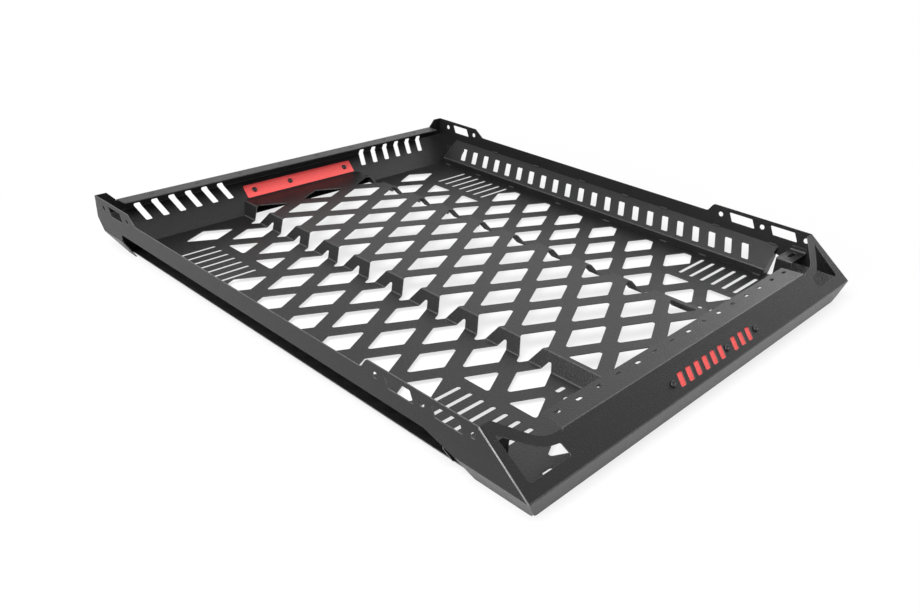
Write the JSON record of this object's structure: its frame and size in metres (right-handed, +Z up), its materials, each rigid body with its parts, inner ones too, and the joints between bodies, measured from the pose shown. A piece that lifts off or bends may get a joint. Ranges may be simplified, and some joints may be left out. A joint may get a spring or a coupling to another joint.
{
  "type": "roof basket",
  "caption": "Shallow roof rack basket of folded black sheet steel: lattice deck with raised middle, slotted side liners, sloping front fascia with end wings and a slotted rear wall.",
  "frame": {"origin": "on the floor under the middle of the basket's outline", "axes": "+X across the basket to its right seen from behind the front, +Y from front to rear, +Z up"},
  "size_m": [1, 1.184, 0.114],
  "materials": {
    "black_coat": "matt black powder coat with a fine texture",
    "red_coat": "satin red powder coat"
  },
  "bodies": {
    "root": {"deck": "black_coat", "front_fascia": "black_coat", "rear_wall": "black_coat", "side_plate_left": "black_coat", "side_plate_right": "black_coat", "side_liner_left": "black_coat", "side_liner_right": "black_coat", "corner_bracket_left": "black_coat", "corner_bracket_right": "black_coat", "backing_plate_rear": "red_coat", "backing_plate_front": "red_coat"}
  },
  "joints": []
}
